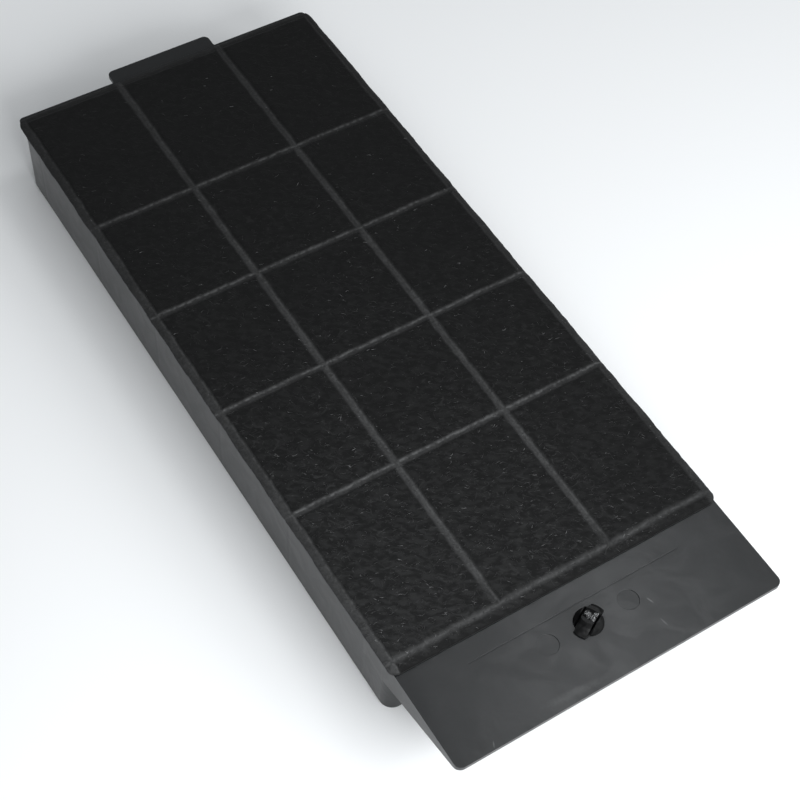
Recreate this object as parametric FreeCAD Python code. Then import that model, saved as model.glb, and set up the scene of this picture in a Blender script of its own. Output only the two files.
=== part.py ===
import FreeCAD
import Part
import math
import os

# Carbon filter cassette of a cooker hood, lying on the underside of its tray.
# Millimetres, +Z up, +X across the cassette, +Y from the handle to the tongue.
# The origin is under the middle of the whole length, on the plane it rests on.

# Tray
tray_width = 165.0          # outside, at the rim
tray_length = 351.0         # outside, at the rim, far wall to near wall
tray_depth = 40.5           # underside to rim
wall = 2.0                  # wall thickness at the rim
near_wall = 4.0             # wall under the root of the handle plate
wall_draft = 0.3            # how far each outer face leans in at the underside
tray_corner = 6.4           # upright corners of the tray
underside_round = 1.5       # lower edge all round

# Cells and their ribs
columns = 3
rows = 5
column_pitch = 57.0         # between the two long ribs
row_pitch = 62.0            # between neighbouring cross ribs
rib = 2.0
rib_shift = 0.5             # middle of the cross ribs, from the middle of the tray to the lip

# Floor grille, whose slots are narrower than a carbon pellet
floor = 2.0
slot_width = 2.4
slot_pitch = 5.2            # least distance from slot to slot
slot_rows = 2               # slots end to end in each cell
slot_margin = 3.0           # closed floor beside every wall and rib
slot_bridge = 4.0           # closed floor between slots that lie end to end

# Lip and tongue at the far end
lip_reach = 3.8             # past the far wall
lip_thickness = 2.3
lip_corner = 2.5
lip_flare = 3.6             # height of the flare that carries the lip
tongue_width = 58.0
tongue_reach = 8.8          # past the lip
tongue_thickness = 2.0
tongue_step = 0.5           # tongue top below the rim
tongue_corner = 3.0
tongue_root = 1.6           # round where the tongue leaves the lip

# Handle plate at the near end, level with the rim
handle_reach = 49.6         # past the near wall
plate_thickness = 2.3
handle_corner = 3.4
skirt_wall = 2.0
skirt_height = 15.9         # at the near wall, from the rim down
stiffener_offset = 12.9     # from the near wall to the rib under the plate
stiffener_length = 107.0
stiffener_thickness = 1.4
stiffener_depth = 5.0
sink_width = 0.5            # sink mark on the plate above the stiffener
sink_depth = 0.08
mark_diameter = 9.6         # round ejector marks on the plate
mark_spacing = 41.2
mark_offset = 22.4          # from the near wall
mark_depth = 0.15           # at the middle
mark_tilt = 1.6             # degrees; the ejectors left each mark deeper on its +X side

# Turn lock
knob_offset = 22.4          # from the near wall
shaft_diameter = 13.0
shaft_clearance = 0.08      # all round, in the hole of the plate
seat_clearance = 0.2        # above and below the plate and its boss
boss_wall = 2.6
boss_height = 2.0
barb_reach = 8.4            # of each snap barb at its free end, from the axis
barb_width = 5.8
barb_tip = 2.7              # reach where a barb grows out of the top of the head
barb_thickness = 2.2
barb_root = 1.6             # solid part of the head above the gap behind a barb
core_reach = 2.2            # of the core between the barbs, from the axis
guide_tip = 4.3             # reach of the two side guides at the top
head_skirt = 0.5            # upright part of the head's edge
head_height = 6.4           # above the plate
barb_slot = 1.0             # between a barb and a guide
flange_diameter = 16.8
flange_thickness = 2.4
grip_thickness = 5.0
grip_height = 9.0
grip_edge = 1.4
knob_turn = 25.0            # degrees from the cross direction, as it lies

# Welded fleece
fleece_welded = 1.8         # thickness under the weld lines
fleece_loose = 2.8          # thickness between them
weld_band = 3.0
weld_slope = 1.2            # width of the slope beside a weld line
fleece_side_margin = 1.1    # past the side walls and the far wall
fleece_near_margin = 2.6    # past the near wall, on the handle plate
fleece_corner = 4.0
pad_corner = 2.4            # corners of the loose field inside each cell

# Places that follow from the sizes
rim = tray_depth
overall_length = handle_reach + tray_length + lip_reach + tongue_reach
front_y = -overall_length / 2.0
near_y = front_y + handle_reach
far_y = near_y + tray_length
lip_y = far_y + lip_reach
tip_y = lip_y + tongue_reach
tray_mid_y = (near_y + far_y) / 2.0
half_width = tray_width / 2.0
knob_y = near_y - knob_offset
hole_radius = shaft_diameter / 2.0 + shaft_clearance
boss_radius = hole_radius + boss_wall
boss_bottom = rim - plate_thickness - boss_height
rib_xs = [column_pitch * (i - (columns - 2) / 2.0) for i in range(columns - 1)]
rib_ys = [tray_mid_y + rib_shift + row_pitch * ((rows - 2) / 2.0 - i) for i in range(rows - 1)]


def vec(x, y, z=0.0):
    return FreeCAD.Vector(x, y, z)


def rounded_face(corners, z=0.0):
    """Flat face whose corners are (x, y, radius), each rounded by a tangent arc."""
    edges = []
    ends = []
    count = len(corners)
    for i in range(count):
        x, y, radius = corners[i]
        here = vec(x, y, z)
        back = vec(*corners[i - 1][:2], z).sub(here).normalize()
        ahead = vec(*corners[(i + 1) % count][:2], z).sub(here).normalize()
        if radius <= 0.0:
            ends.append((here, here))
            continue
        half_angle = back.getAngle(ahead) / 2.0
        setback = radius / math.tan(half_angle)
        bisector = back.add(ahead).normalize()
        middle = here.add(bisector.multiply(radius / math.sin(half_angle) - radius))
        start = here.add(vec(back.x, back.y).multiply(setback))
        end = here.add(vec(ahead.x, ahead.y).multiply(setback))
        edges.append(Part.Arc(start, middle, end).toShape())
        ends.append((start, end))
    for i in range(count):
        leave, arrive = ends[i - 1][1], ends[i][0]
        if leave.distanceToPoint(arrive) > 1e-6:
            edges.append(Part.makeLine(leave, arrive))
    return Part.Face(Part.Wire(Part.__sortEdges__(edges)))


def box_corners(x0, x1, y0, y1, radius):
    """Corners of a rectangle, all with one radius."""
    return [(x0, y0, radius), (x1, y0, radius), (x1, y1, radius), (x0, y1, radius)]


def prism(corners, z0, z1):
    """Upright solid over a rounded outline, from z0 to z1."""
    return rounded_face(corners, z0).extrude(vec(0, 0, z1 - z0))


def block(x0, x1, y0, y1, z0, z1):
    return Part.makeBox(x1 - x0, y1 - y0, z1 - z0, vec(x0, y0, z0))


def tray_outline(inset, near_inset):
    """Outline of the tray, moved in by inset and at the near end by near_inset."""
    side = half_width - inset
    radius = max(tray_corner - inset, 0.5)
    return box_corners(-side, side, near_y + near_inset, far_y - inset, radius)


def cell_bounds(row, column):
    """Free space of a cell between its ribs and walls: x0, x1, y0, y1."""
    xs = [-half_width + wall] + rib_xs + [half_width - wall]
    ys = [far_y - wall] + rib_ys + [near_y + near_wall]
    x0 = xs[column] + (rib / 2.0 if column > 0 else 0.0)
    x1 = xs[column + 1] - (rib / 2.0 if column < columns - 1 else 0.0)
    y1 = ys[row] - (rib / 2.0 if row > 0 else 0.0)
    y0 = ys[row + 1] + (rib / 2.0 if row < rows - 1 else 0.0)
    return x0, x1, y0, y1


def cavity():
    """Inside of the tray above its floor, up to the rim."""
    return prism(tray_outline(wall, near_wall), floor, rim)


def outer_tray():
    """Drafted outside of the tray, still solid, with its lower edge rounded."""
    low = rounded_face(tray_outline(wall_draft, wall_draft), 0.0).OuterWire
    high = rounded_face(tray_outline(0.0, 0.0), rim).OuterWire
    solid = Part.makeLoft([low, high], True, True)
    lower_edges = [e for e in solid.Edges if e.BoundBox.ZMax < 1e-6]
    return solid.makeFillet(underside_round, lower_edges)


def lip():
    """Flat lip past the far wall, carried by a flare that grows out of the tray."""
    start = far_y - tray_corner
    corners = [(-half_width, start, 0.0), (half_width, start, 0.0),
               (half_width, lip_y, lip_corner), (-half_width, lip_y, lip_corner)]
    plate = prism(corners, rim - lip_thickness, rim)
    side = half_width
    low_z = rim - lip_thickness - lip_flare
    low = rounded_face([(-side, start, 0.0), (side, start, 0.0),
                        (side, far_y, tray_corner), (-side, far_y, tray_corner)], low_z)
    high = rounded_face(corners, rim - lip_thickness)
    flare = Part.makeLoft([low.OuterWire, high.OuterWire], True, True)
    return plate.fuse(flare)


def tongue():
    """Stepped tongue that hooks behind the frame of the hood."""
    half = tongue_width / 2.0
    wide = half + 2.0 * tongue_root
    root_y = lip_y - lip_reach
    corners = [(-wide, root_y, 0.0), (wide, root_y, 0.0), (wide, lip_y, 0.0),
               (half, lip_y, tongue_root), (half, tip_y, tongue_corner),
               (-half, tip_y, tongue_corner), (-half, lip_y, tongue_root), (-wide, lip_y, 0.0)]
    top = rim - tongue_step
    return prism(corners, top - tongue_thickness, top)


def handle():
    """Handle plate with its tapering side skirts, and what stands under it."""
    start = near_y + tray_corner
    corners = [(-half_width, start, 0.0), (-half_width, front_y, handle_corner),
               (half_width, front_y, handle_corner), (half_width, start, 0.0)]
    slope = (skirt_height - plate_thickness) / handle_reach
    deep = skirt_height + slope * tray_corner
    solid = prism(corners, rim - deep, rim)
    inner = half_width - skirt_wall
    past = handle_corner
    solid = solid.cut(block(-inner, inner, front_y - past, start, rim - deep, rim - plate_thickness))
    wedge = Part.Face(Part.makePolygon([
        vec(0, front_y - past, rim - deep), vec(0, start, rim - deep),
        vec(0, front_y, rim - plate_thickness), vec(0, front_y - past, rim - plate_thickness),
        vec(0, front_y - past, rim - deep)]))
    wedge.translate(vec(-tray_width, 0, 0))
    solid = solid.cut(wedge.extrude(vec(2.0 * tray_width, 0, 0)))
    rib_y = near_y - stiffener_offset
    stiffener = block(-stiffener_length / 2.0, stiffener_length / 2.0,
                      rib_y - stiffener_thickness / 2.0, rib_y + stiffener_thickness / 2.0,
                      rim - plate_thickness - stiffener_depth, rim - plate_thickness / 2.0)
    boss = Part.makeCylinder(boss_radius, rim - plate_thickness / 2.0 - boss_bottom,
                             vec(0, knob_y, boss_bottom))
    return solid.fuse([stiffener, boss])


def ribs():
    """The ribs that divide the tray into cells, floor to rim."""
    half = rib / 2.0
    low, high = floor / 2.0, rim
    reach_x = half_width - wall / 2.0
    y0, y1 = near_y + near_wall / 2.0, far_y - wall / 2.0
    long_ribs = [block(x - half, x + half, y0, y1, low, high) for x in rib_xs]
    cross_ribs = [block(-reach_x, reach_x, y - half, y + half, low, high) for y in rib_ys]
    return long_ribs + cross_ribs


def floor_slots():
    """Slots of the floor grille, spread evenly over every cell."""
    cutters = []
    for row in range(rows):
        for column in range(columns):
            x0, x1, y0, y1 = cell_bounds(row, column)
            x0, x1 = x0 + slot_margin, x1 - slot_margin
            y0, y1 = y0 + slot_margin, y1 - slot_margin
            across = int((x1 - x0 - slot_width) / slot_pitch) + 1
            step = (x1 - x0 - slot_width) / (across - 1)
            length = (y1 - y0 - slot_bridge * (slot_rows - 1)) / slot_rows
            for i in range(across):
                for j in range(slot_rows):
                    x = x0 + i * step
                    y = y0 + j * (length + slot_bridge)
                    cutters.append(block(x, x + slot_width, y, y + length, -floor, 2.0 * floor))
    return Part.makeCompound(cutters)


def cassette_body():
    """The whole moulding."""
    shell = outer_tray().fuse([lip(), tongue(), handle()])
    shell = shell.cut(cavity())
    shell = shell.fuse(ribs())
    shell = shell.cut(floor_slots())
    hole = Part.makeCylinder(hole_radius, tray_depth, vec(0, knob_y, rim - tray_depth / 2.0))
    marks = []
    for side in (-1, 1):
        mark = Part.makeCylinder(mark_diameter / 2.0, plate_thickness, vec(0, 0, -mark_depth))
        mark.rotate(vec(0, 0, 0), vec(0, 1, 0), mark_tilt)
        mark.translate(vec(side * mark_spacing / 2.0, near_y - mark_offset, rim))
        marks.append(mark)
    sink_y = near_y - stiffener_offset
    sink = block(-stiffener_length / 2.0, stiffener_length / 2.0, sink_y - sink_width / 2.0,
                 sink_y + sink_width / 2.0, rim - sink_depth, rim + sink_depth)
    return shell.cut([hole, sink] + marks).removeSplitter()


def carbon_bed(row, column):
    """Pellet fill of one cell, floor to rim."""
    x0, x1, y0, y1 = cell_bounds(row, column)
    return cavity().common(block(x0, x1, y0, y1, floor, rim))


def top_fleece():
    """Fleece over the whole tray, pressed thin along every weld line."""
    x1 = half_width + fleece_side_margin
    y0, y1 = near_y - fleece_near_margin, far_y + fleece_side_margin
    sheet = prism(box_corners(-x1, x1, y0, y1, fleece_corner), rim, rim + fleece_welded)
    low_z, high_z = rim + fleece_welded, rim + fleece_loose
    edge = weld_band / 2.0
    xs = [-half_width + wall / 2.0] + rib_xs + [half_width - wall / 2.0]
    ys = [far_y - wall / 2.0] + rib_ys + [near_y + near_wall - wall / 2.0]
    pads = []
    for row in range(rows):
        for column in range(columns):
            x0, x1 = xs[column] + edge, xs[column + 1] - edge
            y1, y0 = ys[row] - edge, ys[row + 1] + edge
            low = rounded_face(box_corners(x0, x1, y0, y1, pad_corner), low_z)
            inner = weld_slope
            high = rounded_face(box_corners(x0 + inner, x1 - inner, y0 + inner, y1 - inner,
                                            pad_corner - inner), high_z)
            pads.append(Part.makeLoft([low.OuterWire, high.OuterWire], True, True))
    return sheet.fuse(pads).removeSplitter()


def behind_barb(side):
    """The gap behind a barb, which it springs into on its way through the hole."""
    base = rim + seat_clearance
    shoulder = base + head_skirt
    top = rim + head_height
    slope = (barb_reach - barb_tip) / (top - shoulder)
    gap_top = top - barb_root
    outer = barb_reach - barb_thickness
    inner = max(outer - slope * (gap_top - shoulder), core_reach + seat_clearance)
    corners = [(core_reach, rim), (outer, rim), (outer, shoulder), (inner, gap_top),
               (core_reach, gap_top)]
    points = [vec(side * x, 0, z) for x, z in corners]
    gap = Part.Face(Part.makePolygon(points + points[:1]))
    gap.translate(vec(0, -barb_width, 0))
    return gap.extrude(vec(0, 2.0 * barb_width, 0))


def barbed_head():
    """Two snap barbs that hang from the top of the head, between two side guides."""
    shaft = shaft_diameter / 2.0
    base = rim + seat_clearance
    shoulder = base + head_skirt
    top = rim + head_height
    side = barb_width / 2.0
    skirt = Part.makeCylinder(barb_reach, head_skirt, vec(0, 0, base))
    taper = Part.makeCone(barb_reach, barb_tip, top - shoulder, vec(0, 0, shoulder))
    barbs = skirt.fuse(taper).common(block(-barb_reach, barb_reach, -side, side, base, top))
    neck = Part.makeCylinder(shaft, shoulder - rim, vec(0, 0, rim))
    guides = Part.makeCone(shaft, guide_tip, top - shoulder, vec(0, 0, shoulder))
    middle = block(-shaft, shaft, -side, side, rim, top)
    inside = neck.fuse(guides)
    core = inside.common(middle).fuse(barbs).cut([behind_barb(1), behind_barb(-1)])
    edge = side + barb_slot
    cheeks = [inside.common(block(-shaft, shaft, y0, y1, rim, top))
              for y0, y1 in ((edge, shaft), (-shaft, -edge))]
    return [core] + cheeks


def turn_knob():
    """Grip, flange, shaft and barbed head in one piece."""
    shaft_low = boss_bottom - seat_clearance
    shaft = Part.makeCylinder(shaft_diameter / 2.0, rim - shaft_low, vec(0, 0, shaft_low))
    flange_low = shaft_low - flange_thickness
    flange = Part.makeCylinder(flange_diameter / 2.0, flange_thickness, vec(0, 0, flange_low))
    body = shaft.fuse([flange] + barbed_head())
    half = flange_diameter / 2.0
    grip = block(-half, half, -grip_thickness / 2.0, grip_thickness / 2.0,
                 flange_low - grip_height, flange_low)
    grip = grip.common(Part.makeCylinder(half, tray_depth, vec(0, 0, 0)))
    low_edges = [e for e in grip.Edges if e.BoundBox.ZMax < flange_low - grip_height + 1e-6]
    grip = grip.makeFillet(grip_edge, low_edges)
    body = body.fuse(grip).removeSplitter()
    body.rotate(vec(0, 0, 0), vec(0, 0, 1), knob_turn)
    body.translate(vec(0, knob_y, 0))
    return body


def build():
    """Every node by name."""
    parts = {"cassette_body": cassette_body(), "top_fleece": top_fleece(), "turn_knob": turn_knob()}
    for row in range(rows):
        for column in range(columns):
            parts["carbon_bed_r%d_c%d" % (row + 1, column + 1)] = carbon_bed(row, column)
    return parts


os.makedirs("parts", exist_ok=True)
for name, shape in build().items():
    shape.exportStep(os.path.join("parts", name + ".step"))
    box = shape.BoundBox
    print("%-18s solids %d valid %s volume %.0f  x %.1f..%.1f  y %.1f..%.1f  z %.1f..%.1f" % (
        name, len(shape.Solids), shape.isValid(), shape.Volume,
        box.XMin, box.XMax, box.YMin, box.YMax, box.ZMin, box.ZMax))
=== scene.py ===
"""Looks of a cooker hood carbon filter cassette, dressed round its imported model.

Metres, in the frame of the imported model: +X across the cassette, +Y from the handle plate to
the tongue and +Z up out of the fleece. The moulded cassette and the turn lock keep their
solids and get a finish. The fleece and the carbon beds are replaced by detailed meshes.
"""

import logging
import math
from collections.abc import Iterator
from dataclasses import dataclass, field
from enum import Enum

import bmesh
import bpy
import numpy as np
from mathutils import Matrix, Vector, noise


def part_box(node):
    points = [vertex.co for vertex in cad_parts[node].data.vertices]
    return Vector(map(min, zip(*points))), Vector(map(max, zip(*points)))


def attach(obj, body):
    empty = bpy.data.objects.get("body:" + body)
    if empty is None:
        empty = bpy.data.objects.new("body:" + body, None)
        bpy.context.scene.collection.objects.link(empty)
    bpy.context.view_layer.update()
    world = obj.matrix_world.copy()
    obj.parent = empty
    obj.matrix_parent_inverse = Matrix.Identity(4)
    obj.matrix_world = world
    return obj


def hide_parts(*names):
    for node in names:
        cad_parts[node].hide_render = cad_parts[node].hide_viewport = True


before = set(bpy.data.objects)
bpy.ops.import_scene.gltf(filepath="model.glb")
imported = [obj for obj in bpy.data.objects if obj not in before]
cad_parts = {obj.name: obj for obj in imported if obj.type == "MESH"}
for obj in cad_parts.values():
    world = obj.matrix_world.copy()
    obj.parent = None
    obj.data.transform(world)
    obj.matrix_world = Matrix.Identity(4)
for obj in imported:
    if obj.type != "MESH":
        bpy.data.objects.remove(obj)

LOG = logging.getLogger("cassette")
MM = 0.001
Piece = bpy.types.Object
Material = bpy.types.Material
Socket = bpy.types.NodeSocket
Triple = tuple[float, float, float]
Colour = tuple[float, float, float, float]
Value = Socket | float | Triple | Colour


class Slot(Enum):
    """Names of material slots."""

    LOCK = "lock_plastic"
    FLEECE = "fleece"
    CARBON = "carbon"


class Body(Enum):
    """Bodies that carry the new pieces."""

    CASSETTE = "cassette"
    TURN_LOCK = "turn_lock"


def clamp(value: float, low: float, high: float) -> float:
    """The value, or the limit that it is past."""
    return min(max(value, low), high)


def grey(level: float, tint: float = 0.0) -> Colour:
    """Linear grey that leans to blue by tint."""
    return (level * (1.0 - tint), level, level * (1.0 + tint), 1.0)


class Finish:
    """Node tree of one new material, with a short method for each kind of node it uses."""

    def __init__(self, name: str, colour: Colour, roughness: float) -> None:
        """Starts a material as one Principled shader.

        Args:
            name: Name of the material.
            colour: Linear colour where no node drives it.
            roughness: Roughness where no node drives it.
        """
        self.material = bpy.data.materials.new(name)
        self.material.use_nodes = True
        self.nodes = self.material.node_tree.nodes
        self.nodes.clear()
        self.surface = self.nodes.new("ShaderNodeBsdfPrincipled")
        self.drive("Base Color", colour)
        self.drive("Roughness", roughness)
        output = self.nodes.new("ShaderNodeOutputMaterial")
        self.feed(output.inputs["Surface"], self.surface.outputs["BSDF"])
        self.place = self.nodes.new("ShaderNodeTexCoord").outputs["Object"]

    def feed(self, socket: Socket, value: Value) -> None:
        """Links an output to an input, or sets the input itself.

        Args:
            socket: The input.
            value: The output, or a number or colour.
        """
        if isinstance(value, Socket):
            self.material.node_tree.links.new(value, socket)
        else:
            socket.default_value = value

    def drive(self, name: str, value: Value) -> None:
        """Links an output to the shader's input of that name, or sets that input itself."""
        self.feed(self.surface.inputs[name], value)

    def node(self, kind: str, feeds: dict[int | str, Value],
             **settings: str | int) -> bpy.types.Node:
        """Adds one node.

        Args:
            kind: Its type, without the words that all shader nodes share.
            feeds: What its inputs get, by name or number.
            settings: Its own properties.

        Returns:
            The new node.
        """
        node = self.nodes.new("ShaderNode" + kind)
        for name, setting in settings.items():
            setattr(node, name, setting)
        for name, value in feeds.items():
            self.feed(node.inputs[name], value)
        return node

    def maths(self, operation: str, first: Value, second: Value = 0.0) -> Socket:
        """Result of one Math node's operation, such as MULTIPLY, on one or two values."""
        return self.node("Math", {0: first, 1: second}, operation=operation).outputs[0]

    def times(self, first: Value, *others: Value) -> Socket:
        """Product of two or more values.

        Args:
            first: First value.
            others: What it is multiplied by.

        Returns:
            The product.
        """
        for other in others:
            first = self.maths("MULTIPLY", first, other)
        return first

    def band(self, value: Value, low: float, high: float, to_low: float = 0.0,
             to_high: float = 1.0) -> Socket:
        """Smooth step of a value.

        Args:
            value: What is mapped.
            low: Value that gives to_low.
            high: Value that gives to_high.
            to_low: Result at and before low.
            to_high: Result at and past high.

        Returns:
            The mapped value.
        """
        feeds = {"Value": value, "From Min": low, "From Max": high, "To Min": to_low,
                 "To Max": to_high}
        return self.node("MapRange", feeds, interpolation_type="SMOOTHSTEP").outputs["Result"]

    def mapped(self, place: Triple, turn: float, scale: Triple) -> Socket:
        """Object coordinates in a frame of their own.

        Args:
            place: Origin of that frame.
            turn: Its turn about the Z axis, in radians.
            scale: Length of its unit along each of its axes.

        Returns:
            The new coordinates.
        """
        feeds = {"Vector": self.place, "Location": place, "Rotation": (0.0, 0.0, turn),
                 "Scale": scale}
        return self.node("Mapping", feeds, vector_type="TEXTURE").outputs["Vector"]

    def moved(self, length: float = 1.0, turn: float = 0.0, shift: float = 0.0) -> Socket:
        """Object coordinates turned, drawn out along Y and shifted for a fresh pattern."""
        return self.mapped((shift, shift, shift), turn, (1.0, length, 1.0))

    def noise(self, scale: float, detail: float = 2.0, warp: float = 0.0,
              place: Socket | None = None) -> Socket:
        """Noise of a given fineness.

        Args:
            scale: Features in a metre.
            detail: Octaves.
            warp: Distortion.
            place: Coordinates, or None for the object's own.

        Returns:
            Value from 0 to 1, mostly near a half.
        """
        feeds = {"Vector": place or self.place, "Scale": scale, "Detail": detail,
                 "Distortion": warp}
        return self.node("TexNoise", feeds).outputs["Fac"]

    def strands(self, scale: float, width: float, share: float, turn: float,
                shift: float) -> Socket:
        """Short thin curly lines, cut from the level lines of a noise.

        Args:
            scale: Noise features in a metre.
            width: Half width of a line, as a difference in the noise's value.
            share: Level of a second noise above which a line shows.
            turn: Angle of the lines' lie from the object's Y axis.
            shift: Shift that gives a fresh pattern.

        Returns:
            One on a line and zero beside it.
        """
        draw_out, warp, finer, fade = 2.2, 0.8, 1.3, 0.08
        level = self.noise(scale, 1.0, warp, self.moved(draw_out, turn, shift))
        away = self.maths("ABSOLUTE", self.maths("SUBTRACT", level, 0.5))
        shown = self.band(self.noise(scale * finer, 1.0, place=self.moved(shift=-shift)),
                          share, share + fade)
        return self.times(self.band(away, width, 0.0), shown)

    def mark(self, place: Triple, length: float, width: float, turn: float) -> Socket:
        """One oval mark with ragged ends on a level face.

        Args:
            place: Its middle.
            length: Half of its length.
            width: Half of its width.
            turn: Angle of its length from the Y axis.

        Returns:
            One in the mark and zero beside it.
        """
        depth, ragged = 1.0 * MM, self.noise(450.0, 3.0, 0.8)
        oval = self.mapped(place, turn, (width, length, depth))
        away = self.node("VectorMath", {0: oval}, operation="LENGTH").outputs["Value"]
        return self.band(self.maths("ADD", away, ragged), 1.6, 0.7)

    def axis(self, letter: str) -> Socket:
        """One of the object's coordinates, by its letter."""
        return self.node("SeparateXYZ", {0: self.place}).outputs[letter]

    def attribute(self, name: str) -> Socket:
        """Number that the mesh holds at each point under that name."""
        return self.node("Attribute", {}, attribute_name=name).outputs["Fac"]

    def blend(self, share: Value, first: Value, second: Value) -> Socket:
        """Mix of two colours, where a share of 1 is all of the second."""
        return self.node("Mix", {0: share, 6: first, 7: second}, data_type="RGBA").outputs[2]

    def shades(self, value: Socket, low: float, high: float, dark: float,
               light: float) -> Socket:
        """Two greys in a pattern, dark where the value is low and light where it is high."""
        return self.blend(self.band(value, low, high), grey(dark), grey(light))

    def bump(self, height: Socket, depth: float, under: Socket | None = None) -> Socket:
        """Bumped normal.

        Args:
            height: Height from 0 to 1.
            depth: Metres from 0 to 1.
            under: Normal that it lies on.

        Returns:
            The new normal.
        """
        node = self.node("Bump", {"Height": height, "Distance": depth})
        if under is not None:
            self.feed(node.inputs["Normal"], under)
        return node.outputs["Normal"]

    def rounded_edges(self, radius: float) -> Socket:
        """Normal that looks as if each sharp edge had that radius."""
        return self.node("Bevel", {"Radius": radius}, samples=6).outputs["Normal"]


@dataclass(frozen=True)
class Scratch:
    """One worn place on the handle plate, with its sizes in mm and its turn in degrees."""

    x: float
    y: float
    length: float
    width: float
    turn: float
    strength: float


SCRATCHES = (Scratch(28.4, -184.5, 2.4, 0.45, 20.0, 0.40),
             Scratch(27.3, -195.6, 2.4, 0.4, 12.0, 0.26),
             Scratch(-64.4, -204.5, 1.8, 0.35, -25.0, 0.32),
             Scratch(-24.0, -202.6, 15.0, 2.4, 86.0, 0.09))


@dataclass(frozen=True)
class CassettePlastic:
    """Black polypropylene from a fine-grained mould, with soft sink marks over its ribs.

    The sink marks need the place of one cross rib, the ribs' pitch and the tray's near end.
    """

    rib_y: float
    rib_pitch: float
    tray_y: float
    level: float = 0.0090
    tint: float = 0.06
    scuffed: float = 0.2
    smooth: float = 0.292
    rough: float = 0.325
    specular: float = 0.42
    edge: float = 0.22 * MM
    grain_depth: float = 0.008 * MM
    ripple_depth: float = 0.26 * MM
    smudge_depth: float = 0.104 * MM
    sink_depth: float = 0.06 * MM
    sink_reach: float = 2.2 * MM
    sink_end: float = 5.0 * MM
    plate_top: float = 40.5 * MM

    def material(self) -> Material:
        """The finish.

        Returns:
            The new material.
        """
        made = Finish("cassette_plastic", grey(self.level, self.tint), self.rough)
        flow = made.noise(14.0, 3.0, 0.6, made.moved(2.2, 0.9))
        smudge = made.noise(75.0, 3.0, 1.2, made.moved(1.5, 1.2, 2.7))
        mottle = made.noise(420.0, 3.0)
        colour = made.blend(made.band(mottle, 0.35, 0.65), grey(self.level * 0.92, self.tint),
                            grey(self.level * 1.08, self.tint))
        made.drive("Base Color", made.blend(self.scuffs(made), colour, grey(self.scuffed)))
        rough = made.maths("ADD", made.band(flow, 0.3, 0.7, self.smooth, self.rough),
                           made.band(mottle, 0.3, 0.7, -0.005, 0.005))
        made.drive("Roughness", made.maths("ADD", rough,
                                           made.band(smudge, 0.35, 0.65, -0.010, 0.030)))
        made.drive("Specular IOR Level", self.specular)
        normal = made.rounded_edges(self.edge)
        normal = made.bump(made.noise(30.0, 1.0, 0.3), self.ripple_depth, normal)
        normal = made.bump(smudge, self.smudge_depth, normal)
        normal = made.bump(self.sink(made), self.sink_depth, normal)
        made.drive("Normal", made.bump(made.noise(3800.0), self.grain_depth, normal))
        return made.material

    def scuffs(self, made: Finish) -> Socket:
        """Share of worn plastic in all the scratches.

        Args:
            made: The material.

        Returns:
            The share.
        """
        scuff = 0.0
        for worn in SCRATCHES:
            mark = made.mark((worn.x * MM, worn.y * MM, self.plate_top), worn.length * MM,
                             worn.width * MM, math.radians(worn.turn))
            scuff = made.maths("MAXIMUM", scuff, made.times(mark, worn.strength))
        return scuff

    def sink(self, made: Finish) -> Socket:
        """Height of the walls beside their cross ribs.

        Args:
            made: The material.

        Returns:
            Zero over a rib and one away from the ribs or past the tray.
        """
        length = made.axis("Y")
        away = made.maths("PINGPONG", made.maths("SUBTRACT", length, self.rib_y),
                          self.rib_pitch / 2)
        return made.maths("MAXIMUM", made.band(away, 0.0, self.sink_reach),
                          made.band(length, self.tray_y, self.tray_y - self.sink_end))


@dataclass(frozen=True)
class LockPlastic:
    """Glossy black acetal of the turn lock."""

    level: float = 0.0055
    specular: float = 0.18
    edge: float = 0.25 * MM
    wave_depth: float = 0.05 * MM
    grain_depth: float = 0.008 * MM

    def material(self) -> Material:
        """The finish.

        Returns:
            The new material.
        """
        made = Finish("lock_plastic", grey(self.level), 0.3)
        smear = made.noise(500.0, 3.0, 0.5)
        made.drive("Base Color", made.shades(smear, 0.35, 0.7, self.level * 0.7, self.level * 2.2))
        made.drive("Roughness", made.band(smear, 0.3, 0.7, 0.34, 0.5))
        made.drive("Specular IOR Level", self.specular)
        normal = made.bump(made.noise(900.0, 2.0, 0.4), self.wave_depth,
                           made.rounded_edges(self.edge))
        made.drive("Normal", made.bump(made.noise(6000.0), self.grain_depth, normal))
        return made.material


@dataclass(frozen=True)
class TornPlastic:
    """Lock head top, whitened and creased at the torn sprue, with painted glints and shade."""

    level: float = 0.17
    black: float = 0.003
    specular: float = 0.12
    tear_depth: float = 0.2 * MM

    def material(self) -> Material:
        """The finish.

        Returns:
            The new material.
        """
        made = Finish("torn_plastic", grey(self.black), 0.3)
        torn = made.attribute("torn")
        # Painted glints and painted shade: the whitened colour is broken into light specks that
        # stand in for glints and dark specks that stand in for shade between the lumps.
        glint_and_shade_specks = made.noise(900.0, 3.0, 2.0)
        whitened_glints_and_shade = made.shades(glint_and_shade_specks, 0.5, 0.6, self.level * 0.12, self.level * 1.8)
        made.drive("Base Color", made.blend(torn, grey(self.black), whitened_glints_and_shade))
        made.drive("Roughness", made.band(torn, 0.0, 1.0, 0.2, 0.26))
        made.drive("Specular IOR Level", self.specular)
        height = made.times(made.noise(1500.0, 2.0, 1.0), torn)
        made.drive("Normal", made.bump(height, self.tear_depth))
        return made.material


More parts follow.
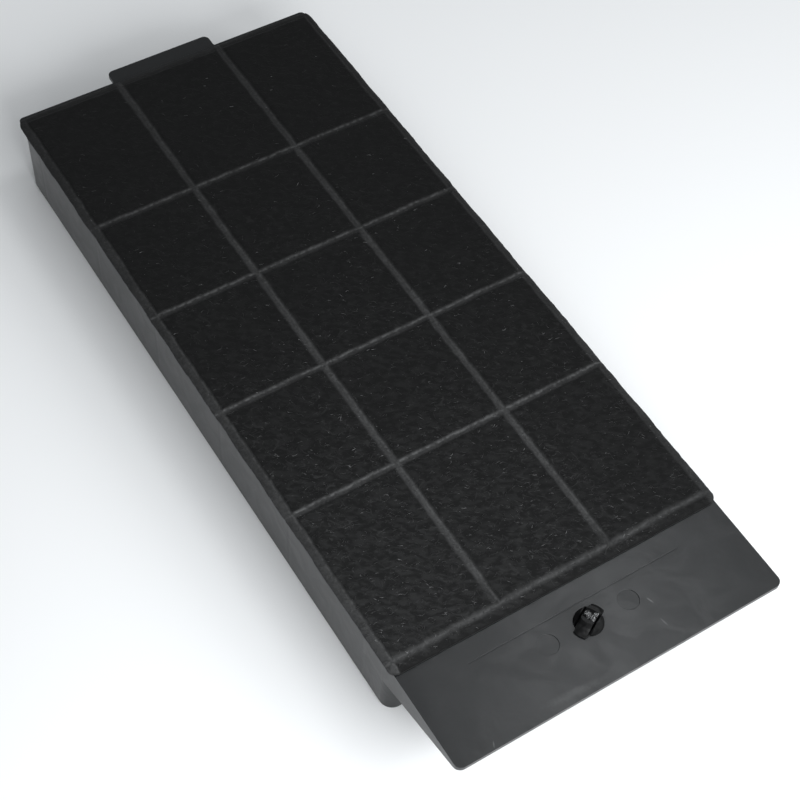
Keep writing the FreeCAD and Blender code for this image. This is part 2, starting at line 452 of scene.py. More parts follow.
@dataclass(frozen=True)
class FleeceMat:
    """Matted black fibres, fused to a grey speckled skin where they are welded, with painted
    highlights beside the weld lines and painted light toward the near end.
    """

    loose: float = 0.0042
    fused: float = 0.050
    strand: float = 0.026
    lie: float = 1.03
    specular: float = 0.18
    sheen: float = 0.03
    felt_depth: float = 0.15 * MM
    strand_depth: float = 0.12 * MM

    def material(self) -> Material:
        """The finish.

        Returns:
            The new material.
        """
        made = Finish("fleece", grey(self.loose), 0.9)
        rubbed_and_lit, weld = made.attribute("rubbed_and_lit"), made.attribute("weld")
        strands = self.strands(made)
        # Painted light, with raised fibres: the rubbed share brightens the mat, the skin and the
        # highlight toward the near left corner.
        lit_paleness = made.maths("POWER", rubbed_and_lit, 0.40)
        pressed = made.blend(weld, self.matted(made, rubbed_and_lit, strands), self.skin(made, lit_paleness))
        # Painted highlight: a pale line on the loose mat's rise beside each weld line, broken up
        # by noise.
        highlight_breaks = made.band(made.noise(420.0), 0.38, 0.62, 0.15, 1.0)
        rim = made.times(made.attribute("rim"), highlight_breaks, lit_paleness)
        made.drive("Base Color", made.blend(rim, pressed, grey(self.fused * 2.6)))
        made.drive("Roughness", made.band(weld, 0.0, 1.0, 0.9, 0.55))
        made.drive("Specular IOR Level", self.specular)
        made.drive("Sheen Weight", self.sheen)
        made.drive("Sheen Roughness", 0.5)
        felt = made.times(made.noise(1500.0, 3.0, 1.2, made.moved(1.8, self.lie)),
                          made.band(rubbed_and_lit, 0.0, 0.5, 0.4, 1.0))
        normal = made.bump(felt, self.felt_depth)
        made.drive("Normal", made.bump(strands, self.strand_depth, normal))
        return made.material

    def strands(self, made: Finish) -> Socket:
        """Three layers of fibres that lie across the mat, from coarse to fine.

        Args:
            made: The material.

        Returns:
            One on a fibre and zero beside it.
        """
        coarse = made.strands(190.0, 0.040, 0.52, self.lie - 0.3, 1.7)
        middle = made.strands(280.0, 0.028, 0.5, self.lie + 0.4, 5.3)
        fine = made.strands(380.0, 0.014, 0.5, self.lie, 9.1)
        return made.maths("MAXIMUM", made.maths("MAXIMUM", coarse, middle), fine)

    def matted(self, made: Finish, rubbed_and_lit: Socket, strands: Socket) -> Socket:
        """Colour of the loose mat.

        Args:
            made: The material.
            rubbed_and_lit: How far handling has raised the fibres, which also stands for painted
                light on the near end.
            strands: Pattern of single fibres.

        Returns:
            The colour, black where the mat is fresh, and dusty and painted lighter as the rubbed
            share rises toward the near left corner.
        """
        clump = made.noise(420.0, 3.0, 0.5, made.moved(2.0, self.lie))
        fresh = made.shades(clump, 0.35, 0.7, self.loose * 0.5, self.loose * 0.8)
        dusty_and_lit = made.shades(clump, 0.38, 0.66, self.loose * 1.8, self.loose * 4.6)
        # Dust on raised fibres and painted light: the lighter colour takes over toward the near
        # left corner.
        base = made.blend(made.maths("POWER", rubbed_and_lit, 1.3), fresh, dusty_and_lit)
        patch = made.band(made.noise(22.0), 0.35, 0.65, 0.35, 1.0)
        return made.blend(made.times(strands, patch, rubbed_and_lit), base, grey(self.strand))

    def skin(self, made: Finish, lit_paleness: Socket) -> Socket:
        """Colour of the fused skin in a weld line, speckled and uneven.

        Args:
            made: The material.
            lit_paleness: Share of the skin's full tone, which fades away from the near left corner
                as painted light.

        Returns:
            The colour.
        """
        speck = made.band(made.noise(800.0, 3.0), 0.36, 0.68, 0.8, 1.2)
        drift = made.band(made.noise(90.0), 0.35, 0.65, 0.85, 1.15)
        return made.blend(made.times(speck, drift, lit_paleness), grey(0.0), grey(self.fused))


@dataclass(frozen=True)
class FibreLint:
    """Stray fibres that stand off the mat and catch the light."""

    level: float = 0.030

    def material(self) -> Material:
        """The finish.

        Returns:
            The new material.
        """
        made = Finish("fibre_lint", grey(self.level), 0.6)
        tone = made.noise(400.0, 1.0)
        dull = made.shades(tone, 0.35, 0.6, self.level * 0.3, self.level * 1.5)
        # Painted highlight: where the tone noise is high, the fibres turn light grey, as fibres
        # that catch the light.
        made.drive("Base Color", made.blend(made.band(tone, 0.6, 0.72), dull,
                                            grey(self.level * 7.0)))
        return made.material


@dataclass(frozen=True)
class PelletCarbon:
    """Extruded activated carbon, dusty and dark grey."""

    level: float = 0.016
    pit_depth: float = 0.06 * MM

    def material(self) -> Material:
        """The finish.

        Returns:
            The new material.
        """
        made = Finish("pellet_carbon", grey(self.level), 0.9)
        dust = made.noise(700.0, 3.0)
        made.drive("Base Color", made.shades(dust, 0.4, 0.7, self.level * 0.6, self.level * 2.2))
        made.drive("Roughness", made.band(dust, 0.3, 0.7, 0.7, 0.98))
        made.drive("Normal", made.bump(made.noise(4500.0, 3.0), self.pit_depth))
        return made.material


@dataclass(frozen=True)
class PaleFloor:
    """Plain pale studio floor."""

    level: float = 0.94

    def material(self) -> Material:
        """The finish.

        Returns:
            The new material.
        """
        made = Finish("pale_floor", grey(self.level), 0.75)
        made.drive("Roughness", made.band(made.noise(3.0), 0.3, 0.7, 0.7, 0.8))
        return made.material


def deselect() -> None:
    """Leaves nothing selected or active, so that an operator acts only on what is added next."""
    bpy.ops.object.select_all(action="DESELECT")
    bpy.context.view_layer.objects.active = None


def select_only(piece: Piece) -> None:
    """Makes one object the only selected one and the active one.

    Args:
        piece: The object.
    """
    deselect()
    piece.select_set(True)
    bpy.context.view_layer.objects.active = piece


def close_below(piece: Piece, levels: tuple[float, ...]) -> None:
    """Runs the open edge of a level sheet down in steps and closes it with one flat face.

    Args:
        piece: The sheet.
        levels: Height of its edge after each step, from the highest to the lowest.
    """
    select_only(piece)
    bpy.ops.object.mode_set(mode="EDIT")
    bpy.ops.mesh.select_mode(type="EDGE")
    bpy.ops.mesh.select_all(action="DESELECT")
    bpy.ops.mesh.select_non_manifold()
    for level in levels:
        bpy.ops.mesh.extrude_region_move(TRANSFORM_OT_translate={"value": (0, 0, -0.1 * MM)})
        mesh = bmesh.from_edit_mesh(piece.data)
        for point in (p for p in mesh.verts if p.select):
            point.co.z = level
        bmesh.update_edit_mesh(piece.data)
    bpy.ops.mesh.edge_face_add()
    bpy.ops.mesh.select_all(action="SELECT")
    bpy.ops.mesh.normals_make_consistent(inside=False)
    bpy.ops.object.mode_set(mode="OBJECT")


def bed_box(row: int, column: int) -> tuple[Vector, Vector]:
    """Lowest and highest corner of one carbon bed."""
    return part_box(f"carbon_bed_r{row}_c{column}")


def beds_in_a_line() -> tuple[int, int]:
    """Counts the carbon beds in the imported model.

    Returns:
        Rows and columns.
    """
    places = [name.split("_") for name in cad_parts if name.startswith("carbon_bed")]
    return (max(int(place[2][1:]) for place in places),
            max(int(place[3][1:]) for place in places))


@dataclass(frozen=True)
class Waver:
    """Smooth unevenness: its height either way, its features in a metre and its seed."""

    height: float
    scale: float
    seed: float

    def at(self, x: float, y: float) -> float:
        """Its height at a place on the mat."""
        return self.height * noise.noise(Vector((x * self.scale, y * self.scale, self.seed)))


def unevenness(wavers: tuple[Waver, ...], x: float, y: float) -> float:
    """Height of several wavers together at a place."""
    return sum(waver.at(x, y) for waver in wavers)


LINE_RAGGED = (Waver(0.35 * MM, 170.0, 4.0), Waver(0.3 * MM, 480.0, 14.0))
LOOSE_LUMPS = (Waver(0.10 * MM, 110.0, 1.0), Waver(0.07 * MM, 420.0, 2.0))
PRESSED_LUMPS = (Waver(0.10 * MM, 520.0, 3.0), Waver(0.05 * MM, 150.0, 5.0))
DRIFT_X, DRIFT_Y = Waver(0.25 * MM, 60.0, 9.0), Waver(0.25 * MM, 60.0, 19.0)
# Of the cut edge, as shares of the cover's edge_waver.
CUT_X = (Waver(1.0, 70.0, 6.0), Waver(0.5, 300.0, 7.0))
CUT_Y = (Waver(1.0, 70.0, 8.0), Waver(0.5, 300.0, 10.0))


@dataclass(frozen=True)
class WeldLine:
    """Section of one weld line, in mm to +X or +Y from its rib's middle.

    The mat falls from start to full and rises from sharp to end. The tone is the share of
    fused skin in the line, and the rim is a painted highlight on the loose mat's rise at the
    line's far side, centred at a given distance from the rib's middle.
    """

    start: float
    full: float
    sharp: float
    end: float
    tone: float
    highlight_at: float = 0.0
    rim: float = 0.0
    highlight_reach: float = 0.8

    def share(self, away: float) -> float:
        """How far the mat is pressed at a place.

        Args:
            away: Distance from the rib's middle.

        Returns:
            From 0 in the loose mat to 1 in the line.
        """
        rise = (away / MM - self.start) / (self.full - self.start)
        fall = (self.end - away / MM) / (self.end - self.sharp)
        share = clamp(min(rise, fall), 0.0, 1.0)
        return share * share * (3.0 - 2.0 * share)

    def lit_paleness(self, away: float) -> float:
        """Share of the painted highlight where the loose mat rises on the line's far side."""
        return self.rim * max(0.0, 1.0 - abs(away / MM - self.highlight_at) / self.highlight_reach)


FROM_CUT_EDGE, TO_CUT_EDGE = (-20.0, -19.0), (19.0, 20.0)
# The last two numbers of a line, where given, place and weigh its painted highlight.
LEFT_LINE = WeldLine(*FROM_CUT_EDGE, 1.25, 2.05, 0.70, 1.0, 0.35)
LONG_LINE = WeldLine(-2.7, -0.5, 1.35, 2.6, 0.95, 0.9, 0.3)
RIGHT_LINE = WeldLine(-2.8, -0.4, *TO_CUT_EDGE, 0.55)
FAR_LINE = WeldLine(-2.8, -0.6, *TO_CUT_EDGE, 0.5)
CROSS_LINE = WeldLine(-3.3, -1.4, 0.6, 1.5, 0.6, 0.4, 0.75)
NEAR_LINE = WeldLine(-2.7, -0.6, -0.3, 1.8, 0.62, -0.4, 0.3)
NEAR_HEM = WeldLine(*FROM_CUT_EDGE, -2.4, -1.6, 0.02)


@dataclass
class FleeceCover:
    """Fleece over the whole tray, pressed thin along every weld line."""

    left_margin: float = 1.6 * MM
    right_margin: float = 1.0 * MM
    far_margin: float = 1.4 * MM
    near_margin: float = 2.8 * MM
    welded: float = 1.8 * MM
    loose: float = 2.8 * MM
    cut_edge: float = 1.2 * MM
    corner: float = 4.0 * MM
    fine_step: float = 0.4 * MM
    fine_before: int = 8
    fine_after: int = 6
    wide_step: float = 1.35 * MM
    edge_waver: float = 0.45 * MM
    edge_reach: float = 2.5 * MM
    near_calm: float = 0.2
    wall: float = 2.0 * MM
    near_wall: float = 4.0 * MM
    line_overlap: float = 0.3 * MM
    fade: float = 14.0 * MM
    faded_tone: float = 0.45
    # Spread of the rubbed share, which also paints light that is strongest at the near left
    # corner.
    least_rub_and_light: float = 0.03
    rub_and_light_reach: float = 0.158
    rub_and_light_width: float = 0.9
    # Width of the painted shade along the near cut edge.
    foot_shade_width: float = 1.6 * MM
    welds_x: list[float] = field(init=False)
    welds_y: list[float] = field(init=False)
    rim: float = field(init=False)
    x0: float = field(init=False)
    x1: float = field(init=False)
    y0: float = field(init=False)
    y1: float = field(init=False)

    def __post_init__(self) -> None:
        """Reads the tray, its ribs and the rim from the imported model."""
        rows, columns = beds_in_a_line()
        across = [bed_box(1, column) for column in range(1, columns + 1)]
        along = [bed_box(row, 1) for row in range(1, rows + 1)]
        half = self.wall / 2
        near_y = along[-1][0].y - self.near_wall
        self.rim = along[0][1].z
        self.welds_x = [across[0][0].x - half,
                        *((left[1].x + right[0].x) / 2 for left, right in zip(across, across[1:])),
                        across[-1][1].x + half]
        self.welds_y = [along[0][1].y + half,
                        *((far[0].y + near[1].y) / 2 for far, near in zip(along, along[1:])),
                        near_y + self.near_wall - half]
        self.x0 = self.welds_x[0] - half - self.left_margin
        self.x1 = self.welds_x[-1] + half + self.right_margin
        self.y0 = near_y - self.near_margin
        self.y1 = self.welds_y[0] + half + self.far_margin

    def grid_lines(self, start: float, end: float, welds: list[float]) -> np.ndarray:
        """Places of the grid's lines, close together at the weld lines.

        Args:
            start: First line.
            end: Last line.
            welds: Middles of the ribs and walls under the weld lines.

        Returns:
            The places, from start to end.
        """
        stops = [weld + k * self.fine_step for weld in welds
                 for k in range(-self.fine_before, self.fine_after + 1)]
        stops = [start] + sorted(stop for stop in stops if start < stop < end) + [end]
        places = [start]
        for before, after in zip(stops, stops[1:]):
            steps = max(1, math.ceil((after - before) / self.wide_step))
            places += [before + (after - before) * (k + 1) / steps for k in range(steps)]
        return np.array(places)

    def sections(self, x: float, y: float) -> list[tuple[WeldLine, float]]:
        """Weld lines as seen from a place.

        Args:
            x, y: Place across and along the mat.

        Returns:
            Every line, with the distance of the place from its rib's middle.
        """
        ragged = unevenness(LINE_RAGGED, x, y)
        long_lines = [LEFT_LINE] + [LONG_LINE] * (len(self.welds_x) - 2) + [RIGHT_LINE]
        cross_lines = [FAR_LINE] + [CROSS_LINE] * (len(self.welds_y) - 2) + [NEAR_LINE]
        found = [(line, x + ragged - middle) for line, middle in zip(long_lines, self.welds_x)
                 if line is not LONG_LINE or y > self.welds_y[-1] - self.line_overlap]
        found += [(line, y + ragged - middle) for line, middle in zip(cross_lines, self.welds_y)]
        return found + [(NEAR_HEM, y + ragged - self.welds_y[-1])]

    def pressed(self, x: float, y: float) -> float:
        """How far a place is pressed, from 0 in the loose mat to 1 in a weld line."""
        return max(line.share(away) for line, away in self.sections(x, y))

    def skin(self, x: float, y: float) -> tuple[float, float]:
        """Fused plastic and painted highlight at a place.

        Args:
            x, y: Place across and along the mat.

        Returns:
            Share of fused skin, and share of the painted highlight beside a line.
        """
        found = self.sections(x, y)
        faded = clamp((y - self.welds_y[-1]) / self.fade, self.faded_tone, 1.0)
        return (max(line.share(away) * line.tone * (faded if line is LONG_LINE else 1.0)
                    for line, away in found),
                max(line.lit_paleness(away) for line, away in found))

    def rubbed_and_lit(self, x: float, y: float) -> float:
        """How far handling has raised the fibres at a place, and how much painted light falls
        there.

        Args:
            x, y: Place across and along the mat.

        Returns:
            Share from 0 to 1, highest at the near left corner and cut low along the near cut edge
            as painted shade.
        """
        away = math.hypot((x - self.x0) * self.rub_and_light_width, y - self.y0)
        # Painted shade: the share drops along the near cut edge, so the mat's foot there is
        # painted dark.
        foot_shade = clamp((y - self.y0) / self.foot_shade_width, 0.15, 1.0)
        share = math.exp(-(away / self.rub_and_light_reach) ** 1.5)
        return (self.least_rub_and_light + (1.0 - self.least_rub_and_light) * share) * foot_shade

    def outside(self, x: float, y: float) -> float:
        """How far a place is past the outer weld lines.

        Args:
            x, y: Place across and along the mat.

        Returns:
            Share of the way from them to the cut edge, from 0 to 1.
        """
        ways = ((self.welds_x[0] - x, self.left_margin + self.wall / 2),
                (x - self.welds_x[-1], self.right_margin + self.wall / 2),
                (self.welds_y[-1] - y, self.near_margin + self.near_wall - self.wall / 2),
                (y - self.welds_y[0], self.far_margin + self.wall / 2))
        return clamp(max(way / reach for way, reach in ways), 0.0, 1.0)

    def top(self, x: float, y: float) -> float:
        """Upper surface of the mat.

        Args:
            x, y: Place across and along the mat.

        Returns:
            Its height there.
        """
        weld, out = self.pressed(x, y), self.outside(x, y)
        lumps, pressed = unevenness(LOOSE_LUMPS, x, y), unevenness(PRESSED_LUMPS, x, y)
        inner = (self.loose + lumps) * (1.0 - weld) + (self.welded + pressed) * weld
        outer = self.welded + pressed - (self.welded - self.cut_edge) * out * out
        share = min(out * 4.0, 1.0)
        return self.rim + inner * (1.0 - share) + outer * share

    def shaped(self, x: float, y: float) -> tuple[float, float]:
        """Moves a place so that the mat's corners are round and its edges waver.

        Args:
            x, y: Place across and along the rectangle.

        Returns:
            The new place.
        """
        middle_x, middle_y = (self.x0 + self.x1) / 2, (self.y0 + self.y1) / 2
        reach_x = (self.x1 - self.x0) / 2 - self.corner
        reach_y = (self.y1 - self.y0) / 2 - self.corner
        calm = self.near_calm if y < self.y0 + self.near_margin else 1.0
        dx = x - middle_x + DRIFT_X.at(x, y)
        dy = y - middle_y + calm * DRIFT_Y.at(x, y)
        over_x = (abs(dx) - reach_x) / self.corner
        over_y = (abs(dy) - reach_y) / self.corner
        if over_x > 0.0 and over_y > 0.0:
            round_x = over_x * math.sqrt(1.0 - over_y * over_y / 2.0)
            round_y = over_y * math.sqrt(1.0 - over_x * over_x / 2.0)
            dx = math.copysign(reach_x + round_x * self.corner, dx)
            dy = math.copysign(reach_y + round_y * self.corner, dy)
        from_edge = min(self.x1 - x, x - self.x0, self.y1 - y, y - self.y0)
        waver = self.edge_waver * max(0.0, 1.0 - from_edge / self.edge_reach)
        dx += waver * unevenness(CUT_X, x, y)
        dy += waver * calm * unevenness(CUT_Y, x, y)
        return middle_x + dx, middle_y + dy

    def build(self) -> Piece:
        """The mat as a closed mesh.

        Returns:
            The new object, with its weld share, its share of painted highlight beside the lines
            and its rubbed share, which also paints light on the near end, at each point.
        """
        xs = self.grid_lines(self.x0, self.x1, self.welds_x)
        ys = self.grid_lines(self.y0, self.y1, self.welds_y)
        deselect()
        bpy.ops.mesh.primitive_grid_add(x_subdivisions=len(xs) - 1, y_subdivisions=len(ys) - 1,
                                        size=1.0)
        mat = bpy.context.object
        mat.name = mat.data.name = "fleece_cover"
        mesh = bmesh.new()
        mesh.from_mesh(mat.data)
        weld, rim, rubbed_and_lit = (mesh.verts.layers.float.new(name)
                             for name in ("weld", "rim", "rubbed_and_lit"))
        for point in mesh.verts:
            column = round((point.co.x + 0.5) * (len(xs) - 1))
            row = round((point.co.y + 0.5) * (len(ys) - 1))
            x, y = float(xs[column]), float(ys[row])
            # The rim share is a painted highlight beside each weld line.
            point[weld], point[rim] = self.skin(x, y)
            point[rubbed_and_lit] = self.rubbed_and_lit(x, y)
            point.co = (*self.shaped(x, y), self.top(x, y))
        mesh.to_mesh(mat.data)
        mesh.free()
        close_below(mat, (self.rim + self.cut_edge / 2, self.rim))
        for face in mat.data.polygons:
            face.use_smooth = True
        return mat


@dataclass
class StrayFibres:
    """Loose fibre ends and specks of lint on top of the mat."""

    cover: FleeceCover
    count: int = 1700
    specks: int = 1500
    thickness: float = 0.06 * MM
    points: int = 4
    seed: int = 11
    margin: float = 1.5 * MM
    tip_margin: float = 0.5 * MM
    least_rubbed: float = 0.035
    lie: float = -0.53

    def build(self) -> Piece:
        """All the fibres and specks in one mesh.

        Returns:
            The new object.
        """
        draw = np.random.default_rng(self.seed)
        curve = bpy.data.curves.new("stray_fibres", "CURVE")
        curve.dimensions = "3D"
        curve.bevel_depth = self.thickness
        curve.bevel_resolution = 0
        curve.use_fill_caps = True
        for _ in range(self.count):
            self.strand(curve, draw, self.points, draw.uniform(0.25, 0.9) * MM, 1.0)
        for _ in range(self.specks):
            self.strand(curve, draw, 2, draw.uniform(0.15, 0.4) * MM, draw.uniform(1.2, 2.0))
        lint = bpy.data.objects.new("stray_fibres", curve)
        bpy.context.scene.collection.objects.link(lint)
        select_only(lint)
        bpy.ops.object.convert(target="MESH")
        return bpy.context.object

    def foot(self, draw: np.random.Generator) -> tuple[float, float]:
        """Finds a place for one fibre, more often where the mat is rubbed.

        Args:
            draw: Source of chance.

        Returns:
            The place across and along the mat.
        """
        cover = self.cover
        while True:
            x = draw.uniform(cover.x0 + self.margin, cover.x1 - self.margin)
            y = draw.uniform(cover.y0 + self.margin, cover.y1 - self.margin)
            if draw.uniform() < cover.rubbed_and_lit(x, y) - self.least_rubbed:
                return x, y

    def strand(self, curve: bpy.types.Curve, draw: np.random.Generator, points: int, step: float,
               girth: float) -> None:
        """Adds one fibre at a place of its own.

        Args:
            curve: Curve that it joins.
            draw: Source of chance.
            points: Points along it.
            step: Distance from point to point.
            girth: Factor on the curve's thickness.
        """
        cover, margin = self.cover, self.tip_margin
        x, y = self.foot(draw)
        heading = draw.normal(self.lie, 0.6)
        turn = draw.normal(0.0, 0.3)
        arch = draw.uniform(0.02, 0.16) * MM
        strand = curve.splines.new("POLY")
        strand.points.add(points - 1)
        for i, point in enumerate(strand.points):
            rise = arch * math.sin(math.pi * i / (points - 1))
            point.co = (x, y, cover.top(x, y) + rise, 1.0)
            point.radius = girth
            x = clamp(x + step * math.cos(heading), cover.x0 + margin, cover.x1 - margin)
            y = clamp(y + step * math.sin(heading), cover.y0 + margin, cover.y1 - margin)
            heading += turn + draw.normal(0.0, 0.15)


@dataclass
class PelletBed:
    """Carbon pellets of one cell, whose lowest layer shows through the floor grille."""

    row: int
    column: int
    radius: float = 1.6 * MM
    length: float = 4.6 * MM
    sides: int = 8
    broken_edge: float = 0.35 * MM
    inset: float = 0.3 * MM
    lift: float = 0.02 * MM

    def pellet(self) -> Piece:
        """One pellet with broken edges.

        Returns:
            The new object, lying along X at the origin.
        """
        deselect()
        bpy.ops.mesh.primitive_cylinder_add(vertices=self.sides, radius=self.radius,
                                            depth=self.length, rotation=(0.0, math.pi / 2, 0.0))
        made = bpy.context.object
        bpy.ops.object.transform_apply(location=True, rotation=True, scale=True)
        bpy.ops.object.mode_set(mode="EDIT")
        bpy.ops.mesh.select_mode(type="EDGE")
        bpy.ops.mesh.select_all(action="DESELECT")
        mesh = bmesh.from_edit_mesh(made.data)
        for edge in mesh.edges:
            ends = {round(point.co.x, 6) for point in edge.verts}
            edge.select_set(len(ends) == 1)
        bmesh.update_edit_mesh(made.data)
        bpy.ops.mesh.bevel(offset=self.broken_edge, segments=1)
        bpy.ops.object.mode_set(mode="OBJECT")
        return made

    def core(self, low: Vector, high: Vector) -> Piece:
        """Block inside the bed's box, which the lowest layer of pellets hides.

        Args:
            low, high: Lowest and highest corner of the bed.

        Returns:
            The new object.
        """
        deselect()
        bpy.ops.mesh.primitive_cube_add(size=1.0)
        block = bpy.context.object
        block.name = block.data.name = f"carbon_pellets_r{self.row}_c{self.column}"
        low = low + Vector((self.inset, self.inset, 1.2 * self.radius))
        high = high - Vector((self.inset, self.inset, self.inset))
        block.data.transform(Matrix.Translation((low + high) / 2)
                             @ Matrix.Diagonal((*(high - low), 1.0)))
        return block

    def scattered(self, low: Vector, high: Vector, points: np.ndarray) -> Iterator[np.ndarray]:
        """Lowest layer of pellets, in loose rows on the floor of the cell.

        Args:
            low, high: Lowest and highest corner of the bed.
            points: Points of one pellet at the origin.

        Yields:
            The points of each pellet in its place.
        """
        draw = np.random.default_rng(100 * self.row + self.column)
        reach = self.length / 2 + self.radius * 0.3
        pitch_x, pitch_y = self.length * 0.78, self.radius * 2.1
        for i in range(int((high.x - low.x) / pitch_x)):
            for j in range(int((high.y - low.y) / pitch_y)):
                turn = draw.uniform(0.0, math.pi)
                tip = draw.normal(0.0, 0.12)
                size = draw.uniform(0.75, 1.1)
                x = low.x + (i + 0.5) * pitch_x + draw.normal(0.0, 0.9) * MM
                y = low.y + (j + 0.5) * pitch_y + draw.normal(0.0, 0.6) * MM
                turned = (Matrix.Rotation(turn, 3, "Z") @ Matrix.Rotation(tip, 3, "Y")
                          @ Matrix.Diagonal((size, 1.0, 1.0)))
                placed = points @ np.array(turned).T
                placed += (clamp(x, low.x + reach, high.x - reach),
                           clamp(y, low.y + reach, high.y - reach), 0.0)
                rise = draw.uniform(0, 0.3) * MM
                placed[:, 2] += low.z + self.lift - placed[:, 2].min() + rise
                yield placed

    def build(self) -> Piece:
        """Block of the bed's own size with a layer of pellets under it.

        Returns:
            The new object.
        """
        low, high = bed_box(self.row, self.column)
        block = self.core(low, high)
        pellet = self.pellet()
        faces = [tuple(face.vertices) for face in pellet.data.polygons]
        points = np.array([point.co for point in pellet.data.vertices])
        bpy.data.objects.remove(pellet)
        all_points = [np.array([point.co for point in block.data.vertices])]
        all_faces = [tuple(face.vertices) for face in block.data.polygons]
        count = len(all_points[0])
        for placed in self.scattered(low, high, points):
            all_points.append(placed)
            all_faces += [tuple(k + count for k in face) for face in faces]
            count += len(placed)
        mesh = bpy.data.meshes.new(block.name)
        mesh.from_pydata(np.concatenate(all_points).tolist(), [], all_faces)
        block.data = mesh
        return block


@dataclass
class Cassette:
    """The moulded cassette with its fleece and carbon."""

    def dress(self) -> None:
        """Builds and finishes everything that rides on the cassette."""
        cover = FleeceCover()
        rib_y, next_rib_y = cover.welds_y[1:3]
        plastic = CassettePlastic(rib_y, rib_y - next_rib_y, cover.y0)
        paint("cassette_body", plastic.material())
        mat = cover.build()
        settle(mat, FleeceMat().material(), Body.CASSETTE, Slot.FLEECE, "top_fleece")
        lint = StrayFibres(cover).build()
        settle(lint, FibreLint().material(), Body.CASSETTE, Slot.FLEECE)
        carbon = PelletCarbon().material()
        rows, columns = beds_in_a_line()
        for row in range(1, rows + 1):
            for column in range(1, columns + 1):
                bed = PelletBed(row, column).build()
                settle(bed, carbon, Body.CASSETTE, Slot.CARBON, f"carbon_bed_r{row}_c{column}")


@dataclass(frozen=True)
class Lobe:
    """One round part of the torn plastic, in mm from the middle of the head."""

    x: float
    y: float
    reach: float

    def depth(self, x: float, y: float) -> float:
        """One in its middle and zero at its edge, for a place in mm."""
        return 1.0 - math.hypot(x - self.x, y - self.y) / self.reach


# The last, small lobe sits on a glint of the head; its whitened colour paints that highlight.
LOBES = (Lobe(-0.9, 0.2, 1.6), Lobe(-0.4, 1.6, 1.3), Lobe(-0.9, -1.1, 1.3),
         Lobe(1.1, -1.9, 1.1), Lobe(-1.9, -2.0, 1.2), Lobe(1.9, -2.4, 0.6))


@dataclass
class TurnLock:
    """The turn lock in the handle plate, with the rough gate scar on top of its head."""

    reach_x: float = 2.5 * MM
    reach_y: float = 2.8 * MM
    turn: float = math.radians(25.0)
    crest: float = 0.8 * MM
    relief: float = 0.5 * MM
    skirt: float = 0.15 * MM
    soft_edge: float = 0.25
    steps: int = 48

    def dress(self) -> None:
        """Builds the scar and finishes the lock."""
        paint("turn_knob", LockPlastic().material())
        settle(self.gate_scar(), TornPlastic().material(), Body.TURN_LOCK, Slot.LOCK)

    def tear(self, x: float, y: float) -> float:
        """Torn plastic on the head, with a ragged outline.

        Args:
            x, y: Place across and along the head, from its middle.

        Returns:
            Share of torn plastic, from 0 to 1.
        """
        ragged = 0.25 * noise.noise(Vector((x, y, 0.001)) * 900.0)
        deepest = max(lobe.depth(x / MM, y / MM) for lobe in LOBES)
        return clamp((deepest + ragged) / self.soft_edge, 0.0, 1.0)

    def scar_point(self, u: float, v: float) -> Triple:
        """Place on the scar, which slopes to its smooth side and is torn at the sprue.

        Args:
            u, v: Share of the way to the edge across and along the head, from -1 to 1.

        Returns:
            The place, from the middle of the head's top.
        """
        x = self.reach_x * u * math.sqrt(1.0 - 0.2 * v * v)
        y = self.reach_y * v * math.sqrt(1.0 - 0.1 * u * u)
        edge = 1.0 - max(abs(u), abs(v)) ** 8
        slope = self.crest * (1.0 - max(u + 0.2, 0.0) / 1.2)
        torn = noise.ridged_multi_fractal(Vector((x, y, 0.0)) * 420.0, 0.9, 2.1, 3, 1.0, 1.6)
        lumps = noise.noise(Vector((x, y, 0.003)) * 300.0)
        rise = slope + self.relief * self.tear(x, y) * (0.35 * torn + 0.5 * lumps - 0.3)
        return x, y, max(edge * rise, 0.0)

    def gate_scar(self) -> Piece:
        """Top of the head, torn where the sprue was.

        Returns:
            The new object, with a share of torn plastic at each point.
        """
        low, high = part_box("turn_knob")
        deselect()
        bpy.ops.mesh.primitive_grid_add(x_subdivisions=self.steps, y_subdivisions=self.steps,
                                        size=2.0)
        scar = bpy.context.object
        scar.name = scar.data.name = "gate_scar"
        share = scar.data.attributes.new("torn", "FLOAT", "POINT")
        middle = Vector(((low.x + high.x) / 2, (low.y + high.y) / 2, high.z))
        turned = Matrix.Rotation(self.turn, 3, "Z")
        for point in scar.data.vertices:
            place = self.scar_point(point.co.x, point.co.y)
            share.data[point.index].value = self.tear(*place[:2])
            point.co = middle + turned @ Vector(place)
        close_below(scar, (high.z - self.skirt,))
        return scar


def paint(node: str, material: Material) -> None:
    """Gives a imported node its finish.

    Args:
        node: Name of the node.
        material: The finish.
    """
    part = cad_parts[node]
    for slot in part.material_slots:
        slot.material = material
    LOG.info("%s: %s", node, material.name)


def settle(piece: Piece, material: Material, body: Body, slot: Slot,
           stands_for: str = "") -> None:
    """Finishes a new piece, hangs it from its body and hides the node that it replaces.

    Args:
        piece: The new piece, in place.
        material: Its finish.
        body: Body that carries it.
        slot: Not used.
        stands_for: Node that it replaces, if any.
    """
    piece.data.materials.clear()
    piece.data.materials.append(material)
    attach(piece, body.value)
    if stands_for:
        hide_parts(stands_for)
    LOG.info("%s: %d faces, %s", piece.name, len(piece.data.polygons), material.name)


@dataclass(frozen=True)
class SoftBox:
    """One square area light, with its side in metres and its power in watts."""

    name: str
    place: Triple
    size: float
    power: float


SOFT_BOXES = (SoftBox("key_box", (0.395, 0.10, 1.0), 0.24, 1.15),
              SoftBox("fill_box", (-0.07, -0.68, 0.45), 0.4, 5.5),
              SoftBox("right_box", (0.75, -0.85, 0.80), 0.7, 8.0))


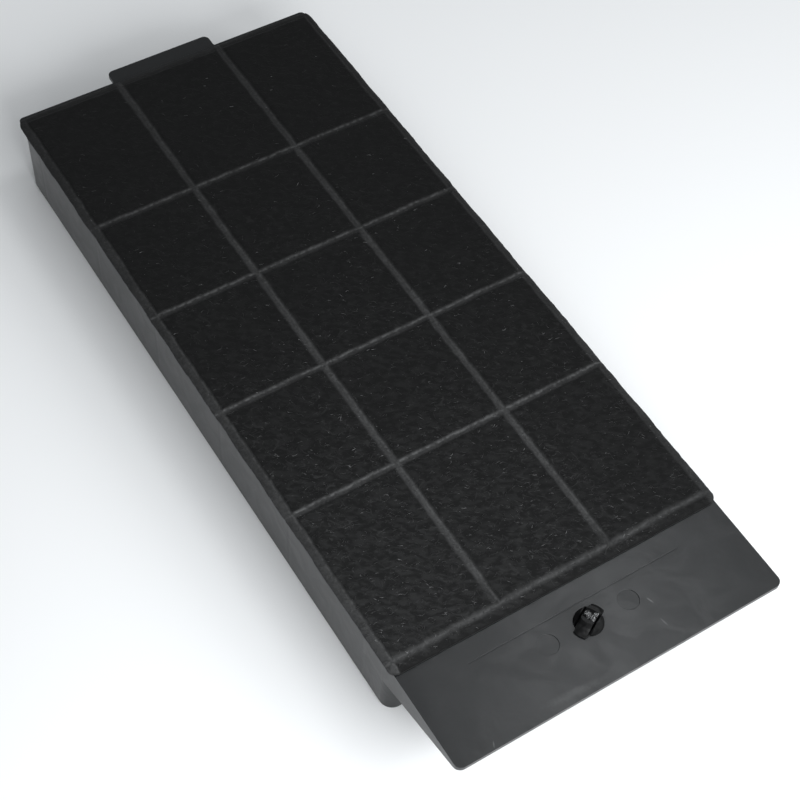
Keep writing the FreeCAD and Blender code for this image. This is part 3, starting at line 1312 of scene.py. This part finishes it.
@dataclass
class Studio:
    """Pale floor, soft lights and the camera."""

    aim: Triple = (-0.00868, -0.04572, 0.0423)
    distance: float = 0.76151
    azimuth: float = math.radians(-36.205)
    elevation: float = math.radians(54.496)
    roll: float = math.radians(5.055)
    lens: float = 76.36
    sensor: float = 36.0
    floor_size: float = 8.0
    floor_z: float = -0.05 * MM
    sky: Colour = (0.96, 1.0, 1.03, 1.0)
    sky_strength: float = 0.33
    lamp: Triple = (0.975, 1.0, 1.02)

    def build(self) -> None:
        """Builds the whole studio."""
        self.lay_floor()
        self.open_sky()
        for soft_box in SOFT_BOXES:
            self.hang(soft_box)
        self.place_camera()

    def lay_floor(self) -> None:
        """Floor that the cassette stands on."""
        deselect()
        bpy.ops.mesh.primitive_plane_add(size=self.floor_size, location=(0.0, 0.0, self.floor_z))
        floor = bpy.context.object
        floor.name = "studio_floor"
        floor.data.materials.append(PaleFloor().material())

    def open_sky(self) -> None:
        """Bright even surroundings."""
        bpy.context.scene.view_settings.view_transform = "Standard"
        world = bpy.data.worlds.new("studio")
        bpy.context.scene.world = world
        world.use_nodes = True
        background = world.node_tree.nodes["Background"]
        background.inputs["Color"].default_value = self.sky
        background.inputs["Strength"].default_value = self.sky_strength

    def hang(self, soft_box: SoftBox) -> None:
        """Hangs one soft box so that it points at the cassette.

        Args:
            soft_box: Which one.
        """
        light = bpy.data.lights.new(soft_box.name, "AREA")
        light.size = soft_box.size
        light.energy = soft_box.power
        light.color = self.lamp
        box = bpy.data.objects.new(soft_box.name, light)
        bpy.context.scene.collection.objects.link(box)
        box.location = soft_box.place
        box.rotation_mode = "QUATERNION"
        away = Vector(self.aim) - Vector(soft_box.place)
        box.rotation_quaternion = away.to_track_quat("-Z", "Y")

    def place_camera(self) -> None:
        """Camera at the photograph's angle, rolled a little."""
        level, rise = math.cos(self.elevation), math.sin(self.elevation)
        back = Vector((math.sin(self.azimuth) * level, -math.cos(self.azimuth) * level, rise))
        flat = Vector((math.cos(self.azimuth), math.sin(self.azimuth), 0.0))
        right = Matrix.Rotation(self.roll, 3, back) @ flat
        axes = Matrix((right, back.cross(right), back)).transposed().to_4x4()
        camera = bpy.data.objects.new("camera", bpy.data.cameras.new("camera"))
        bpy.context.scene.collection.objects.link(camera)
        camera.data.lens = self.lens
        camera.data.sensor_width = self.sensor
        place = Vector(self.aim) + back * self.distance
        camera.matrix_world = Matrix.Translation(place) @ axes
        bpy.context.scene.camera = camera


def main() -> None:
    """Builds the studio and dresses the part."""
    logging.basicConfig(level=logging.INFO, format="%(message)s")
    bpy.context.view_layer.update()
    Studio().build()
    Cassette().dress()
    TurnLock().dress()


if __name__ == "__main__":
    main()
